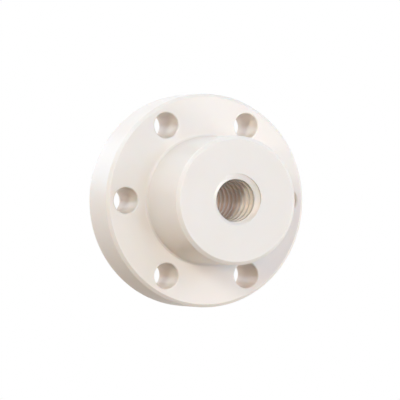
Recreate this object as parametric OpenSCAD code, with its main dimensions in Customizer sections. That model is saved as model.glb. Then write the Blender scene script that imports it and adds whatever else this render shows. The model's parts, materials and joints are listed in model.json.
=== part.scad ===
// Flanged lead screw nut, turned from one bar of plastic.
// The flange's back face lies on z = 0 and the boss points up, along +Z.
// A right-hand trapezoidal thread runs right through, with a lead-in at each mouth.

/* [Flange] */
// Outer diameter of the flange
flange_d = 42; // [40:0.5:60]
// Thickness of the flange
flange_h = 10; // [6:0.5:14]
// Width of the chamfers on both rims of the flange
flange_chamfer = 0.6; // [0.2:0.1:1.2]

/* [Boss] */
// Outer diameter of the boss, which a bracket's bore slides over
boss_d = 25; // [18:0.5:26]
// Height of the boss above the flange
boss_h = 15; // [8:1:22]
// Width of the chamfer on the boss's free rim
boss_chamfer = 0.7; // [0.2:0.1:1.5]
// Radius that the turning tool leaves where the boss meets the flange
corner_r = 0.8; // [0.4:0.1:1.2]

/* [Bolt holes] */
// Number of holes, the first of them on +X
hole_count = 6; // [3:1:8]
// How far the holes' centres lie outside the middle of the ring between boss and rim
hole_shift = 0.25; // [-0.25:0.05:0.5]
// Diameter of each hole
hole_d = 5; // [3:0.1:5.4]
// Width of the deburring chamfer on both rims of each hole
hole_chamfer = 0.2; // [0.1:0.05:0.4]

/* [Thread] */
// Nominal diameter of the screw
thread_d = 10; // [8:1:12]
// Advance of the thread in one turn
thread_pitch = 2; // [1.5:0.5:2.5]
// Angle between the two flanks of the groove
flank_angle = 30; // [20:1:34]
// Gap between the screw's crests and the floor of the nut's groove
crest_gap = 0.2; // [0.1:0.05:0.4]
// How much larger the drilled bore is than the basic minor diameter
bore_allowance = 0.24; // [0:0.02:0.3]
// Angle round the axis, from +X, at which the groove's middle meets the boss's face
thread_start = 60; // [0:1:359]

/* [Lead-in] */
// Diameter of the lead-in at each mouth of the bore
lead_in_d = 9.8; // [9.4:0.2:12]
// Included angle of the lead-in's cone
lead_in_angle = 120; // [90:5:130]

/* [Hidden] */
$fn = 96;

length = flange_h + boss_h;
flange_r = flange_d / 2;
boss_r = boss_d / 2;
hole_circle_r = (flange_r + boss_r) / 2 + hole_shift;

// The thread's radii: basic pitch line, drilled bore and floor of the groove
pitch_r = thread_d / 2 - thread_pitch / 4;
bore_r = (thread_d - thread_pitch + bore_allowance) / 2;
groove_r = thread_d / 2 + crest_gap;

// How far a cutting shape runs past the face that it opens through
overrun = 1;

// The groove is swept in straight steps, from a turn below the nut to a turn above it
steps_per_turn = 24;
sweep_steps = steps_per_turn * (ceil(length / thread_pitch) + 3);
sweep_start = -steps_per_turn * (ceil(length / thread_pitch) + 1);

// The groove's section as [radius, height] corners, its inner side inside the drilled bore
inner_r = bore_r - thread_pitch / 4;
groove_section = [
    [inner_r, -half_groove(inner_r)],
    [groove_r, -half_groove(groove_r)],
    [groove_r, half_groove(groove_r)],
    [inner_r, half_groove(inner_r)]
];
corners = len(groove_section);

// Half the groove's width at radius r: a quarter of the pitch on the pitch line
function half_groove(r) = thread_pitch / 4 + (pitch_r - r) * tan(flank_angle / 2);

// Corner k of the section after a number of steps from where the groove meets the boss's face
function groove_point(step, k) =
    let (turn = step / steps_per_turn)
    [
        groove_section[k].x * cos(360 * turn + thread_start),
        groove_section[k].x * sin(360 * turn + thread_start),
        groove_section[k].y + length + thread_pitch * turn
    ];

// The two triangles between corner k of one section and the same side of the next
function side_faces(i, k) =
    let (a = i * corners + k, b = i * corners + (k + 1) % corners)
    [
        [a, b, a + corners],
        [a + corners, b, b + corners]
    ];

// The helical groove that the threading tool cuts
module thread_groove() {
    last = sweep_steps * corners;
    polyhedron(
        points = [
            for (i = [0:sweep_steps], k = [0:corners - 1])
                groove_point(sweep_start + i, k)
        ],
        faces = concat(
            [[0, 2, 1], [0, 3, 2]],
            [for (i = [0:sweep_steps - 1], k = [0:corners - 1]) each side_faces(i, k)],
            [[last, last + 1, last + 2], [last, last + 2, last + 3]]
        ),
        convexity = 20
    );
}

// A cone that widens upwards and leaves radius r at height 0, for chamfers and lead-ins
module chamfer_cone(r, width, half_angle = 45) {
    depth = width / tan(half_angle);
    below = depth + overrun / 2;
    above = overrun;
    translate([0, 0, -below])
        cylinder(
            r1 = r - below * tan(half_angle),
            r2 = r + above * tan(half_angle),
            h = below + above
        );
}

// Places its children at both mouths of a hole that runs from z = 0 to height h
module both_mouths(h) {
    translate([0, 0, h])
        children();
    mirror([0, 0, 1])
        children();
}

// Half of the turned outline: flange and boss with their chamfers
module outline() {
    polygon([
        [0, 0],
        [flange_r - flange_chamfer, 0],
        [flange_r, flange_chamfer],
        [flange_r, flange_h - flange_chamfer],
        [flange_r - flange_chamfer, flange_h],
        [boss_r, flange_h],
        [boss_r, length - boss_chamfer],
        [boss_r - boss_chamfer, length],
        [0, length]
    ]);
}

// The small fillet between the boss and the flange
module corner_fillet() {
    translate([boss_r, flange_h])
        difference() {
            square(corner_r);
            translate([corner_r, corner_r])
                circle(corner_r);
        }
}

module turned_blank() {
    rotate_extrude()
        union() {
            outline();
            corner_fillet();
        }
}

module threaded_bore() {
    translate([0, 0, -overrun])
        cylinder(r = bore_r, h = length + 2 * overrun);
    both_mouths(length)
        chamfer_cone(lead_in_d / 2, lead_in_d / 2 - bore_r, lead_in_angle / 2);
    thread_groove();
}

module bolt_hole() {
    translate([0, 0, -overrun])
        cylinder(d = hole_d, h = flange_h + 2 * overrun);
    both_mouths(flange_h)
        chamfer_cone(hole_d / 2 + hole_chamfer, hole_chamfer);
}

module flanged_nut() {
    color("ivory")
        difference() {
            turned_blank();
            threaded_bore();
            for (i = [0:hole_count - 1])
                rotate([0, 0, i * 360 / hole_count])
                    translate([hole_circle_r, 0, 0])
                        bolt_hole();
        }
}

flanged_nut();
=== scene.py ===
# A flanged lead screw nut, turned from ivory plastic, lying on a glowing studio table.
# The thread's axis is Z and the boss points up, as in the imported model. All lengths are in metres.
import json
import math

import bpy
from mathutils import Matrix, Vector


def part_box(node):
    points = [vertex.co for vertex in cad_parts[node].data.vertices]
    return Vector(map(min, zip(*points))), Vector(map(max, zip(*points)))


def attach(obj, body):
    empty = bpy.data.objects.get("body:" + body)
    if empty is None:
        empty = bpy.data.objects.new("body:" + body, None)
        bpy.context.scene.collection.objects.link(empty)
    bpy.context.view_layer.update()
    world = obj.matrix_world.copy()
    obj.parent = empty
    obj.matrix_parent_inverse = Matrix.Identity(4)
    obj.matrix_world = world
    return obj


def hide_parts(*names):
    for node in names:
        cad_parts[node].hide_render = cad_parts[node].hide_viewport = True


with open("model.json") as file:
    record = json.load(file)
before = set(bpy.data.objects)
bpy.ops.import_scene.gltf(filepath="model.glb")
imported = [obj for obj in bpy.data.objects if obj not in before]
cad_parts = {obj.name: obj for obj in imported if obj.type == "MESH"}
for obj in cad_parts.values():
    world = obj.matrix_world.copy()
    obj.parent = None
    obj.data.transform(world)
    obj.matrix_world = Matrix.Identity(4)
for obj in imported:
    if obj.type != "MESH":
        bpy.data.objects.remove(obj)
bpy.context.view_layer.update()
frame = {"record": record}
mm = 0.001
print("stage: frame loaded")


def joinSocket(tree, socket, value):
    # value is another node's output, or a plain value for the socket itself
    if isinstance(value, bpy.types.NodeSocket):
        tree.links.new(value, socket)
    else:
        socket.default_value = value


def addNode(tree, kind, inputs=None, **settings):
    # inputs maps a socket's name or number to a value or to another node's output
    node = tree.nodes.new(kind)
    for key, value in settings.items():
        setattr(node, key, value)
    for key, value in (inputs or {}).items():
        joinSocket(tree, node.inputs[key], value)
    return node


def calc(tree, operation, a, b=0.0):
    # one step of arithmetic on floats, as an output socket
    return addNode(tree, "ShaderNodeMath", {0: a, 1: b}, operation=operation).outputs[0]


def count(tree, operation, a, b=0):
    # one step of arithmetic on whole numbers
    return addNode(tree, "FunctionNodeIntegerMath", {0: a, 1: b}, operation=operation).outputs[0]


def newTree(name, kind, inputs, outputs):
    # each input is a label, a socket kind and a first value, and each output a label and a kind
    tree = bpy.data.node_groups.new(name, kind)
    for label, socketKind, value in inputs:
        socket = tree.interface.new_socket(label, in_out="INPUT", socket_type="NodeSocket" + socketKind)
        if value is not None:
            socket.default_value = value
    for label, socketKind in outputs:
        tree.interface.new_socket(label, in_out="OUTPUT", socket_type="NodeSocket" + socketKind)
    return tree, tree.nodes.new("NodeGroupInput").outputs, tree.nodes.new("NodeGroupOutput").inputs


def newShapeTree(name, inputs):
    return newTree(name, "GeometryNodeTree", inputs, [("Geometry", "Geometry")])


def softOutline(tree, corners):
    # a line through (radius, height, softness) corners, and each corner's softness
    index = addNode(tree, "GeometryNodeInputIndex").outputs[0]
    place = addNode(tree, "GeometryNodeIndexSwitch", {0: index}, data_type="VECTOR")
    soft = addNode(tree, "GeometryNodeIndexSwitch", {0: index}, data_type="FLOAT")
    for k, (radius, height, softness) in enumerate(corners):
        if k > 1:  # the switches start with two items
            place.index_switch_items.new()
            soft.index_switch_items.new()
        spot = addNode(tree, "ShaderNodeCombineXYZ", {"X": radius, "Z": height})
        joinSocket(tree, place.inputs[k + 1], spot.outputs[0])
        joinSocket(tree, soft.inputs[k + 1], softness)
    points = addNode(tree, "GeometryNodePoints", {"Count": len(corners), "Position": place.outputs[0]})
    line = addNode(tree, "GeometryNodePointsToCurves", {0: points.outputs[0]})
    return line.outputs[0], soft.outputs[0]


def roundCorners(tree, line, softness, softSteps):
    return addNode(
        tree,
        "GeometryNodeFilletCurve",
        {"Curve": line, "Count": softSteps, "Radius": softness, "Limit Radius": True},
        mode="POLY",
    ).outputs[0]


def readOutline(tree, outline, index):
    # radius and height of one point of the outline
    place = addNode(tree, "GeometryNodeInputPosition").outputs[0]
    picked = addNode(
        tree,
        "GeometryNodeSampleIndex",
        {"Geometry": outline, "Value": place, "Index": index},
        data_type="FLOAT_VECTOR",
        domain="POINT",
    )
    parts = addNode(tree, "ShaderNodeSeparateXYZ", {0: picked.outputs[0]}).outputs
    return parts["X"], parts["Z"]


weldReach = 1e-7  # points nearer to each other than this become one


def weld(tree, shape):
    return addNode(tree, "GeometryNodeMergeByDistance", {0: shape, "Distance": weldReach}).outputs[0]


def bendGrid(tree, across, along, radius, angle, height):
    # a grid of across by along points, each put at its radius, angle and height
    grid = addNode(tree, "GeometryNodeMeshGrid", {"Vertices X": across, "Vertices Y": along})
    place = addNode(
        tree,
        "ShaderNodeCombineXYZ",
        {
            "X": calc(tree, "MULTIPLY", radius, calc(tree, "COSINE", angle)),
            "Y": calc(tree, "MULTIPLY", radius, calc(tree, "SINE", angle)),
            "Z": height,
        },
    )
    bent = addNode(
        tree,
        "GeometryNodeSetPosition",
        {"Geometry": grid.outputs[0], "Position": place.outputs[0]},
    )
    return weld(tree, bent.outputs[0])


def makeLatheTree():
    # turns an outline that starts and ends on the axis into a closed solid
    tree, given, made = newShapeTree(
        "latheTurn", [("Outline", "Geometry", None), ("Steps Round", "Int", 192)]
    )
    size = addNode(tree, "GeometryNodeAttributeDomainSize", {0: given["Outline"]}, component="CURVE")
    rows = size.outputs[0]
    index = addNode(tree, "GeometryNodeInputIndex").outputs[0]
    column = count(tree, "DIVIDE_FLOOR", index, rows)
    radius, height = readOutline(tree, given["Outline"], count(tree, "FLOORED_MODULO", index, rows))
    turn = calc(tree, "DIVIDE", column, given["Steps Round"])
    angle = calc(tree, "MULTIPLY", turn, 2 * math.pi)
    across = count(tree, "ADD", given["Steps Round"], 1)
    joinSocket(tree, made[0], bendGrid(tree, across, rows, radius, angle, height))
    return tree


def makeThreadTree():
    # sweeps a closed section along a right-hand helix and closes it to a point at both ends
    tree, given, made = newShapeTree(
        "threadSweep",
        [
            ("Section", "Geometry", None),
            ("Pitch", "Float", 2.0 * mm),
            ("Inner Radius", "Float", 3.6 * mm),
            ("First Height", "Float", 0.0),
            ("First Angle", "Float", 0.0),
            ("Turns", "Int", 16),
            ("Steps Per Turn", "Int", 96),
        ],
    )
    size = addNode(tree, "GeometryNodeAttributeDomainSize", {0: given["Section"]}, component="CURVE")
    corners = size.outputs[0]
    rows = count(tree, "ADD", corners, 1)
    index = addNode(tree, "GeometryNodeInputIndex").outputs[0]
    step = count(tree, "DIVIDE_FLOOR", index, rows)
    corner = count(tree, "FLOORED_MODULO", count(tree, "FLOORED_MODULO", index, rows), corners)
    radius, height = readOutline(tree, given["Section"], corner)
    steps = count(tree, "MULTIPLY", given["Turns"], given["Steps Per Turn"])
    # 0 at both ends of the sweep and 1 between them
    fromEnd = count(tree, "MINIMUM", step, count(tree, "SUBTRACT", steps, step))
    isOpen = calc(tree, "GREATER_THAN", fromEnd, 0.5)
    reach = calc(tree, "MULTIPLY", calc(tree, "SUBTRACT", radius, given["Inner Radius"]), isOpen)
    turn = calc(tree, "DIVIDE", step, given["Steps Per Turn"])
    rise = calc(tree, "MULTIPLY", turn, given["Pitch"])
    ownHeight = calc(tree, "ADD", rise, calc(tree, "MULTIPLY", height, isOpen))
    sweep = bendGrid(
        tree,
        count(tree, "ADD", steps, 1),
        rows,
        calc(tree, "ADD", given["Inner Radius"], reach),
        calc(tree, "ADD", calc(tree, "MULTIPLY", turn, 2 * math.pi), given["First Angle"]),
        calc(tree, "ADD", ownHeight, given["First Height"]),
    )
    joinSocket(tree, made[0], sweep)
    return tree


mounts = {mount["name"]: mount for mount in frame["record"]["mounts"]}
lowCorner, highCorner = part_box("flanged_nut")

# the tree's inputs: the record and the solid's box give some, and the others repeat the part's source
nutSizes = {
    "Flange Radius": (highCorner.x - lowCorner.x) / 2,
    "Flange Height": mounts["flange_front"]["pos_m"][2],
    "Flange Chamfer": 0.6 * mm,
    "Boss Radius": mounts["locating_boss"]["dims"]["r_mm"] * mm,
    "Boss Height": highCorner.z - mounts["flange_front"]["pos_m"][2],
    "Boss Chamfer": 0.7 * mm,
    "Corner Radius": 0.8 * mm,  # left by the turning tool between boss and flange
    "Edge Softness": 0.12 * mm,  # how far the turned edges are rounded
    "Hole Count": mounts["bolt_holes"]["dims"]["count"],
    "Hole Circle Radius": mounts["bolt_holes"]["dims"]["pcd_mm"] / 2 * mm,
    "Hole Radius": mounts["bolt_holes"]["dims"]["hole_r_mm"] * mm,
    "Hole Chamfer": 0.2 * mm,
    "Bore Radius": mounts["screw_thread"]["dims"]["r_mm"] * mm,
    "Lead-in Radius": 4.9 * mm,
    "Lead-in Depth": (highCorner.z - mounts["screw_thread"]["dims"]["length_mm"] * mm) / 2,
    "Pitch": 2.0 * mm,
    "Pitch Line Radius": 4.5 * mm,
    "Groove Radius": 5.2 * mm,
    "Flank Slope": math.tan(math.radians(15)),
    "Thread Softness": 0.05 * mm,  # how far the thread's edges are rounded
    "Thread Start": math.radians(60),  # where the groove's middle meets the boss's face
    "Sharp Angle": math.radians(26),  # edges that bend more than this are shaded sharp
    "Steps Round": 288,
    "Steps Per Turn": 96,
    "Soft Steps": 3,
}

# allowances of the shapes that cut the blank, none of which shows on the nut
cutterSizes = {
    "overrun": 1.0 * mm,  # how far a drill reaches past the face that it opens through
    "lip": 0.3 * mm,  # how much wider it is there than the rim that it leaves
    "overlap": 0.003 * mm,  # keeps a cutter's faces off the faces that they would lie in
    "inset": 0.5 * mm,  # how far the groove's section reaches inside the bore's wall
    "shoulder": 0.15 * mm,  # how much wider it is there, on either side
}


def makeNutTree(finish):
    wholeNumbers = ("Hole Count", "Steps Round", "Steps Per Turn", "Soft Steps")
    tree, given, made = newShapeTree(
        "leadScrewNut",
        [(label, "Int" if label in wholeNumbers else "Float", value) for label, value in nutSizes.items()],
    )
    softSteps, edge = given["Soft Steps"], given["Edge Softness"]

    def add(a, b):
        return calc(tree, "ADD", a, b)

    def less(a, b):
        return calc(tree, "SUBTRACT", a, b)

    def times(a, b):
        return calc(tree, "MULTIPLY", a, b)

    def lathe(corners):
        line, softness = softOutline(tree, corners)
        node = addNode(tree, "GeometryNodeGroup", node_tree=latheTree)
        joinSocket(tree, node.inputs["Outline"], roundCorners(tree, line, softness, softSteps))
        joinSocket(tree, node.inputs["Steps Round"], given["Steps Round"])
        return node.outputs[0]

    # the turned blank, from the flange's back face up to the boss's face
    flangeR, flangeH, flangeC = given["Flange Radius"], given["Flange Height"], given["Flange Chamfer"]
    bossR, bossC = given["Boss Radius"], given["Boss Chamfer"]
    top = add(flangeH, given["Boss Height"])
    blank = lathe(
        [
            (0.0, 0.0, 0.0),
            (less(flangeR, flangeC), 0.0, edge),
            (flangeR, flangeC, edge),
            (flangeR, less(flangeH, flangeC), edge),
            (less(flangeR, flangeC), flangeH, edge),
            (bossR, flangeH, given["Corner Radius"]),
            (bossR, less(top, bossC), edge),
            (less(bossR, bossC), top, edge),
            (0.0, top, 0.0),
        ]
    )

    # a drill with a flared neck at both mouths, which leaves a chamfer and a softened rim
    overrun, lip, overlap = cutterSizes["overrun"], cutterSizes["lip"], cutterSizes["overlap"]

    def drill(radius, flare, depth, height):
        rim = add(radius, flare)
        return lathe(
            [
                (0.0, -overrun, 0.0),
                (add(rim, lip), -overrun, 0.0),
                (add(rim, lip), -overlap, 0.0),
                (rim, -overlap, edge),
                (radius, depth, edge),
                (radius, less(height, depth), edge),
                (rim, add(height, overlap), edge),
                (add(rim, lip), add(height, overlap), 0.0),
                (add(rim, lip), add(height, overrun), 0.0),
                (0.0, add(height, overrun), 0.0),
            ]
        )

    leadIn = less(given["Lead-in Radius"], given["Bore Radius"])
    bore = drill(given["Bore Radius"], leadIn, given["Lead-in Depth"], top)
    hole = drill(given["Hole Radius"], given["Hole Chamfer"], given["Hole Chamfer"], flangeH)

    # the bolt holes stand on a circle, the first of them on +X
    spots = addNode(
        tree,
        "GeometryNodeMeshCircle",
        {"Vertices": given["Hole Count"], "Radius": given["Hole Circle Radius"]},
    )
    placed = addNode(tree, "GeometryNodeInstanceOnPoints", {"Points": spots.outputs[0], "Instance": hole})
    holes = addNode(tree, "GeometryNodeRealizeInstances", {0: placed.outputs[0]}).outputs[0]

    # the thread's groove: trapezoidal, a quarter pitch either side of its middle on the pitch line
    quarter = times(given["Pitch"], 0.25)

    def halfWidth(radius):
        return add(quarter, times(less(given["Pitch Line Radius"], radius), given["Flank Slope"]))

    crestR, floorR = less(given["Bore Radius"], overlap), given["Groove Radius"]
    innerR = less(given["Bore Radius"], cutterSizes["inset"])
    crestHalf, floorHalf = halfWidth(crestR), halfWidth(floorR)
    innerHalf = add(crestHalf, cutterSizes["shoulder"])
    soft = given["Thread Softness"]
    upperHalf = [
        (floorR, floorHalf, soft),
        (crestR, crestHalf, soft),
        (crestR, innerHalf, 0.0),
        (innerR, innerHalf, 0.0),
    ]
    lowerHalf = [
        (radius, times(height, -1.0), softness) for radius, height, softness in reversed(upperHalf)
    ]
    line, softness = softOutline(tree, lowerHalf + upperHalf)
    closed = addNode(tree, "GeometryNodeSetSplineCyclic", {"Geometry": line, "Cyclic": True}).outputs[0]

    # the sweep starts a whole number of turns below the boss's face, where it is clear of the flange's
    # back, and ends two turns above that face
    turnsBelow = calc(tree, "CEIL", add(calc(tree, "DIVIDE", top, given["Pitch"]), 1.0))
    thread = addNode(tree, "GeometryNodeGroup", node_tree=threadTree)
    for label, value in (
        ("Section", roundCorners(tree, closed, softness, softSteps)),
        ("Pitch", given["Pitch"]),
        ("Inner Radius", innerR),
        ("First Height", less(top, times(turnsBelow, given["Pitch"]))),
        ("First Angle", given["Thread Start"]),
        ("Turns", add(turnsBelow, 2.0)),
        ("Steps Per Turn", given["Steps Per Turn"]),
    ):
        joinSocket(tree, thread.inputs[label], value)

    cut = addNode(tree, "GeometryNodeMeshBoolean", operation="DIFFERENCE", solver="MANIFOLD")
    joinSocket(tree, cut.inputs["Mesh 1"], blank)
    for cutter in (bore, holes, thread.outputs[0]):
        joinSocket(tree, cut.inputs["Mesh 2"], cutter)

    # smooth shading everywhere but at the edges that bend sharply
    smooth = addNode(
        tree,
        "GeometryNodeSetShadeSmooth",
        {"Geometry": weld(tree, cut.outputs[0]), "Shade Smooth": True},
    )
    bend = addNode(tree, "GeometryNodeInputMeshEdgeAngle").outputs[0]
    isSharp = calc(tree, "GREATER_THAN", bend, given["Sharp Angle"])
    edged = addNode(
        tree,
        "GeometryNodeSetShadeSmooth",
        {"Geometry": smooth.outputs[0], "Selection": isSharp, "Shade Smooth": False},
        domain="EDGE",
    )
    whole = addNode(tree, "GeometryNodeRealizeInstances", {0: edged.outputs[0]})
    painted = addNode(tree, "GeometryNodeSetMaterial", {"Geometry": whole.outputs[0], "Material": finish})
    joinSocket(tree, made[0], painted.outputs[0])
    return tree


def makeNut(finish):
    tree = makeNutTree(finish)
    maker = bpy.data.objects.new("nutMaker", bpy.data.meshes.new("nutStart"))
    bpy.context.scene.collection.objects.link(maker)
    shape = maker.modifiers.new("turn", "NODES")
    shape.node_group = tree
    for item in tree.interface.items_tree:
        if item.in_out == "INPUT":
            shape[item.identifier] = nutSizes[item.name]
    maker.modifiers.new("evenNormals", "WEIGHTED_NORMAL").keep_sharp = True
    ready = bpy.context.evaluated_depsgraph_get()
    mesh = bpy.data.meshes.new_from_object(maker.evaluated_get(ready), depsgraph=ready)
    # the finished mesh gets an object of its own, without modifiers
    bpy.data.objects.remove(maker)
    mesh.name = "nutBody"
    nut = bpy.data.objects.new("nutBody", mesh)
    bpy.context.scene.collection.objects.link(nut)
    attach(nut, "root")
    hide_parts("flanged_nut")
    print("stage: nut made,", len(mesh.vertices), "points,", len(mesh.polygons), "faces")


def mixColours(tree, share, first, second):
    # sockets 0, 6 and 7 are the share of the second colour and the two colours, and output 2 their mix
    return addNode(tree, "ShaderNodeMix", {0: share, 6: first, 7: second}, data_type="RGBA").outputs[2]


def makeGrainGroup():
    # fine grain of filled plastic: a height for the bump and a slow cloudiness for the colour
    tree, given, made = newTree(
        "plasticGrain",
        "ShaderNodeTree",
        [("Place", "Vector", None), ("Grain Size", "Float", 0.25 * mm), ("Cloud Size", "Float", 6 * mm)],
        [("Height", "Float"), ("Cloud", "Float")],
    )
    for label, size, detail in (("Height", "Grain Size", 3.0), ("Cloud", "Cloud Size", 2.0)):
        scale = calc(tree, "DIVIDE", 1.0, given[size])
        noise = addNode(
            tree,
            "ShaderNodeTexNoise",
            {"Vector": given["Place"], "Scale": scale, "Detail": detail},
        )
        joinSocket(tree, made[label], noise.outputs[0])
    return tree


def makeTurningGroup():
    # the lathe's fine feed marks: rings on the flat faces, and rings one above another on the round ones
    tree, given, made = newTree(
        "turningMarks",
        "ShaderNodeTree",
        [
            ("Place", "Vector", None),
            ("Facing", "Vector", None),
            ("Feed", "Float", 0.12 * mm),
            ("Flat From", "Float", 0.7),  # a face that looks more up or down than this is a flat one
            ("Ring Height", "Float", 0.3),  # of the even rings, against that of the uneven ones
            ("Uneven Pace", "Float", 0.35),  # how many uneven rings there are to an even one
        ],
        [("Height", "Float")],
    )
    parts = addNode(tree, "ShaderNodeSeparateXYZ", {0: given["Place"]}).outputs
    flat = addNode(tree, "ShaderNodeCombineXYZ", {"X": parts["X"], "Y": parts["Y"]}).outputs[0]
    radius = addNode(tree, "ShaderNodeVectorMath", {0: flat}, operation="LENGTH").outputs["Value"]
    upright = addNode(tree, "ShaderNodeSeparateXYZ", {0: given["Facing"]}).outputs["Z"]
    isFlat = calc(tree, "GREATER_THAN", calc(tree, "ABSOLUTE", upright), given["Flat From"])
    alongRadius = calc(tree, "MULTIPLY", radius, isFlat)
    alongHeight = calc(tree, "MULTIPLY", parts["Z"], calc(tree, "SUBTRACT", 1.0, isFlat))
    travel = calc(tree, "DIVIDE", calc(tree, "ADD", alongRadius, alongHeight), given["Feed"])
    uneven = addNode(
        tree,
        "ShaderNodeTexNoise",
        {"W": calc(tree, "MULTIPLY", travel, given["Uneven Pace"]), "Scale": 1.0, "Detail": 2.0},
        noise_dimensions="1D",
    ).outputs[0]
    wave = calc(tree, "SINE", calc(tree, "MULTIPLY", travel, 2 * math.pi))
    even = calc(tree, "MULTIPLY", wave, given["Ring Height"])
    joinSocket(tree, made["Height"], calc(tree, "ADD", even, uneven))
    return tree


plasticLook = {
    "paleColour": (0.88, 0.80, 0.71, 1.0),
    "deepColour": (0.86, 0.775, 0.68, 1.0),
    "roughness": 0.32,
    "roughnessSpread": 0.02,  # how far the cloudiness takes it up and down
    "refraction": 1.55,
    "glow": 0.25,  # how much of the light goes below the surface and comes back softened
    "glowReach": 1.5 * mm,
    "glowShares": (1.0, 0.6, 0.35),  # how much of that reach red, green and blue have
    "grainHeight": 0.0006 * mm,
    "turningHeight": 0.0006 * mm,
}


def makeIvoryPlastic():
    material = bpy.data.materials.new("ivoryPlastic")
    material.use_nodes = True
    tree = material.node_tree
    shader = next(node for node in tree.nodes if node.type == "BSDF_PRINCIPLED")
    place = addNode(tree, "ShaderNodeTexCoord").outputs
    grain = addNode(tree, "ShaderNodeGroup", node_tree=grainGroup)
    joinSocket(tree, grain.inputs["Place"], place["Object"])
    marks = addNode(tree, "ShaderNodeGroup", node_tree=turningGroup)
    joinSocket(tree, marks.inputs["Place"], place["Object"])
    joinSocket(tree, marks.inputs["Facing"], place["Normal"])

    # the cloudiness changes the tint and the gloss a little
    cloud = grain.outputs["Cloud"]
    tint = mixColours(tree, cloud, plasticLook["deepColour"], plasticLook["paleColour"])
    joinSocket(tree, shader.inputs["Base Color"], tint)
    rough = addNode(
        tree,
        "ShaderNodeMapRange",
        {
            "Value": cloud,
            "To Min": plasticLook["roughness"] - plasticLook["roughnessSpread"],
            "To Max": plasticLook["roughness"] + plasticLook["roughnessSpread"],
        },
    )
    joinSocket(tree, shader.inputs["Roughness"], rough.outputs[0])

    # the turning marks, and the grain on top of them
    marksBump = addNode(
        tree,
        "ShaderNodeBump",
        {"Strength": 1.0, "Distance": plasticLook["turningHeight"], "Height": marks.outputs["Height"]},
    )
    grainBump = addNode(
        tree,
        "ShaderNodeBump",
        {
            "Strength": 1.0,
            "Distance": plasticLook["grainHeight"],
            "Height": grain.outputs["Height"],
            "Normal": marksBump.outputs[0],
        },
    )
    joinSocket(tree, shader.inputs["Normal"], grainBump.outputs[0])
    shader.inputs["IOR"].default_value = plasticLook["refraction"]
    shader.inputs["Subsurface Weight"].default_value = plasticLook["glow"]
    shader.inputs["Subsurface Radius"].default_value = plasticLook["glowShares"]
    shader.inputs["Subsurface Scale"].default_value = plasticLook["glowReach"]
    return material


def addStageMesh(name, points, material):
    # one flat face of the studio, which isn't part of the nut
    mesh = bpy.data.meshes.new(name)
    mesh.from_pydata(points, [], [range(len(points))])
    mesh.materials.append(material)
    thing = bpy.data.objects.new(name, mesh)
    bpy.context.scene.collection.objects.link(thing)
    return thing


def makeGlow(name):
    # an emission material, with the socket that its colour goes into
    material = bpy.data.materials.new(name)
    material.use_nodes = True
    tree = material.node_tree
    tree.nodes.remove(next(node for node in tree.nodes if node.type == "BSDF_PRINCIPLED"))
    light = addNode(tree, "ShaderNodeEmission")
    out = next(node for node in tree.nodes if node.type == "OUTPUT_MATERIAL")
    joinSocket(tree, out.inputs["Surface"], light.outputs[0])
    return material, light.inputs["Color"]


def smoothFade(tree, value, start, end):
    # 0 up to start, 1 from end on, and a soft change between them
    return addNode(
        tree,
        "ShaderNodeMapRange",
        {"Value": value, "From Min": start, "From Max": end},
        interpolation_type="SMOOTHSTEP",
    ).outputs[0]


tableLook = {
    "size": 3.0,
    "gap": 0.02 * mm,  # between the table and the flange's back face
    "nearSeen": (1.0, 1.0, 1.0, 1.0),  # painted glow that only the camera sees: white near the nut
    "farSeen": (0.74, 0.74, 0.74, 1.0),  # the painted glow fades to this far from the nut, where the air takes over
    "nearEnds": 68 * mm,
    "farStarts": 150 * mm,
    "sentBelow": (0.71, 0.59, 0.47, 1.0),  # the light that it sends up on the -Y side of the nut
    "sentAbove": (1.02, 1.10, 1.25, 1.0),  # the same on the +Y side
    "sentFade": 60 * mm,  # the one turns into the other over this far either side of the nut's middle
}


def makeTable():
    # a glowing table that the nut lies on
    half, level = tableLook["size"] / 2, lowCorner.z - tableLook["gap"]
    material, colour = makeGlow("glowingTable")
    tree = material.node_tree
    place = addNode(tree, "ShaderNodeTexCoord").outputs["Object"]
    across = addNode(tree, "ShaderNodeSeparateXYZ", {0: place}).outputs["Y"]
    side = smoothFade(tree, across, -tableLook["sentFade"], tableLook["sentFade"])
    sent = mixColours(tree, side, tableLook["sentBelow"], tableLook["sentAbove"])
    # the camera sees a painted glow, white near the nut and fading to pale grey farther off, apart from
    # the light that the table sends
    distance = addNode(tree, "ShaderNodeVectorMath", {0: place}, operation="LENGTH").outputs["Value"]
    far = smoothFade(tree, distance, tableLook["nearEnds"], tableLook["farStarts"])
    seen = mixColours(tree, far, tableLook["nearSeen"], tableLook["farSeen"])
    isSeen = addNode(tree, "ShaderNodeLightPath").outputs["Is Camera Ray"]
    joinSocket(tree, colour, mixColours(tree, isSeen, sent, seen))
    table = addStageMesh(
        "studioTable",
        [(-half, -half, level), (half, -half, level), (half, half, level), (-half, half, level)],
        material,
    )
    # the nut's sheen shows the air and the panel in place of the table
    table.visible_glossy = False


panelLook = {
    "glow": (1.86, 2.14, 2.47, 1.0),
    "width": 0.4,
    "way": (-0.29, 0.26, -0.92),  # where it stands, seen from the nut
    "corners": 48,
}
studioReach = 1.0  # how far the panel and the lamps stand from the nut


def makePanel():
    # a glowing disc that faces the nut from beneath the table, where only the nut's sheen shows it
    corners, radius = panelLook["corners"], panelLook["width"] / 2
    away = Vector(panelLook["way"]).normalized()
    turned = away.to_track_quat("Z", "Y").to_matrix().to_4x4()
    place = Matrix.Translation(away * studioReach) @ turned
    turns = [math.tau * k / corners for k in range(corners)]
    rim = [place @ Vector((radius * math.cos(turn), radius * math.sin(turn), 0)) for turn in turns]
    material, colour = makeGlow("glowingPanel")
    colour.default_value = panelLook["glow"]
    material.cycles.emission_sampling = "NONE"
    addStageMesh("studioPanel", rim, material)


airLook = {
    "mirrored": 1.78,  # the brightest that the air looks in the nut's sheen, straight along +Y
    "shareAbove": 0.3,  # what share of that is left above the table
    "horizon": 0.1,  # how far up and down from level the one turns into the other
}


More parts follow.
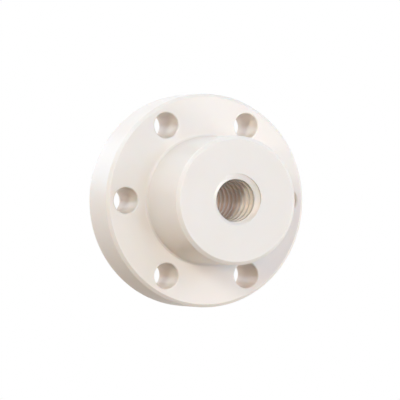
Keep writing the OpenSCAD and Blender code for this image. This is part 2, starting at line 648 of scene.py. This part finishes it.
def makeAir():
    # the air sends no light, but the camera and the nut's sheen see it
    world = bpy.data.worlds.new("studioAir")
    bpy.context.scene.world = world
    world.use_nodes = True
    tree = world.node_tree
    direction = addNode(tree, "ShaderNodeTexCoord").outputs["Generated"]
    way = addNode(tree, "ShaderNodeSeparateXYZ", {0: direction}).outputs
    along = addNode(
        tree,
        "ShaderNodeMapRange",
        {"Value": way["Y"], "From Min": -1.0, "To Max": airLook["mirrored"]},
    )
    above = addNode(
        tree,
        "ShaderNodeMapRange",
        {
            "Value": way["Z"],
            "From Min": -airLook["horizon"],
            "From Max": airLook["horizon"],
            "To Min": 1.0,
            "To Max": airLook["shareAbove"],
        },
    )
    path = addNode(tree, "ShaderNodeLightPath").outputs
    mirrored = calc(tree, "MULTIPLY", along.outputs[0], above.outputs[0])
    forSheen = calc(tree, "MULTIPLY", path["Is Glossy Ray"], mirrored)
    forCamera = calc(tree, "MULTIPLY", path["Is Camera Ray"], tableLook["farSeen"][0])
    back = next(node for node in tree.nodes if node.type == "BACKGROUND")
    back.inputs["Color"].default_value = (1.0, 1.0, 1.0, 1.0)
    joinSocket(tree, back.inputs["Strength"], calc(tree, "ADD", forSheen, forCamera))


# each lamp's tilt from straight above and turn from +X in degrees, its width, its watts and its colour
lamps = {
    "keyLamp": (44, 150, 0.2, 3.17, (0.89, 1.00, 1.00)),
    "warmLeftLamp": (52, 170, 0.12, 1.42, (1.00, 0.84, 0.66)),
    "boreLamp": (20, 165, 0.12, 1.51, (1.00, 0.61, 0.42)),
    "overheadLamp": (0, 0, 0.42, 2.13, (0.38, 0.68, 1.00)),
    "highRightLamp": (24, 60, 0.42, 1.76, (0.77, 0.87, 1.00)),
    "lowRightLamp": (24, 300, 0.42, 1.13, (1.00, 0.92, 0.84)),
    "rightLamp": (46, 22.5, 0.42, 2.16, (0.64, 0.73, 1.00)),
    "lowSideLamp": (66, 324, 0.42, 2.75, (0.83, 0.90, 1.00)),
    "rimLamp": (82, 342, 0.42, 3.11, (1.00, 0.97, 0.82)),
    "leftLamp": (86, 135, 0.2, 2.92, (0.55, 0.73, 1.00)),
}


def makeLamp(name, tilt, turn, width, watts, colour):
    # a round softbox that faces the nut
    data = bpy.data.lights.new(name, "AREA")
    data.shape = "DISK"
    data.size = width
    data.energy = watts
    data.color = colour
    tilt, turn = math.radians(tilt), math.radians(turn)
    away = Vector((math.sin(tilt) * math.cos(turn), math.sin(tilt) * math.sin(turn), math.cos(tilt)))
    lamp = bpy.data.objects.new(name, data)
    lamp.location = away * studioReach + (lowCorner + highCorner) / 2
    lamp.rotation_euler = away.to_track_quat("Z", "Y").to_euler()
    bpy.context.scene.collection.objects.link(lamp)


view = {
    "turn": math.radians(22.97),  # from the thread's axis towards -X
    "reach": 0.675,
    "lens": 309.3,  # like sensorWidth, in millimetres
    "sensorWidth": 36,
    "clipStart": 0.01,
    "aside": -1.261 * mm,  # to the camera's right of the middle of the flange's front face
    "up": 0.104 * mm,  # above that middle
}


def makeCamera():
    across = Vector((math.cos(view["turn"]), 0, math.sin(view["turn"])))
    upward = Vector((0, 1, 0))
    back = Vector((-math.sin(view["turn"]), 0, math.cos(view["turn"])))
    middle = Vector((0, 0, nutSizes["Flange Height"]))
    data = bpy.data.cameras.new("studioCamera")
    data.lens = view["lens"]
    data.sensor_width = view["sensorWidth"]
    data.clip_start = view["clipStart"]
    camera = bpy.data.objects.new("studioCamera", data)
    spot = middle + back * view["reach"] + across * view["aside"] + upward * view["up"]
    camera.matrix_world = Matrix.Translation(spot) @ Matrix((across, upward, back)).transposed().to_4x4()
    bpy.context.scene.collection.objects.link(camera)
    bpy.context.scene.camera = camera


latheTree = makeLatheTree()
threadTree = makeThreadTree()
grainGroup = makeGrainGroup()
turningGroup = makeTurningGroup()
makeNut(makeIvoryPlastic())
makeTable()
makePanel()
makeAir()
for lampName, lamp in lamps.items():
    makeLamp(lampName, *lamp)
makeCamera()
bpy.context.scene.view_settings.view_transform = "Standard"
print("stage: studio ready")
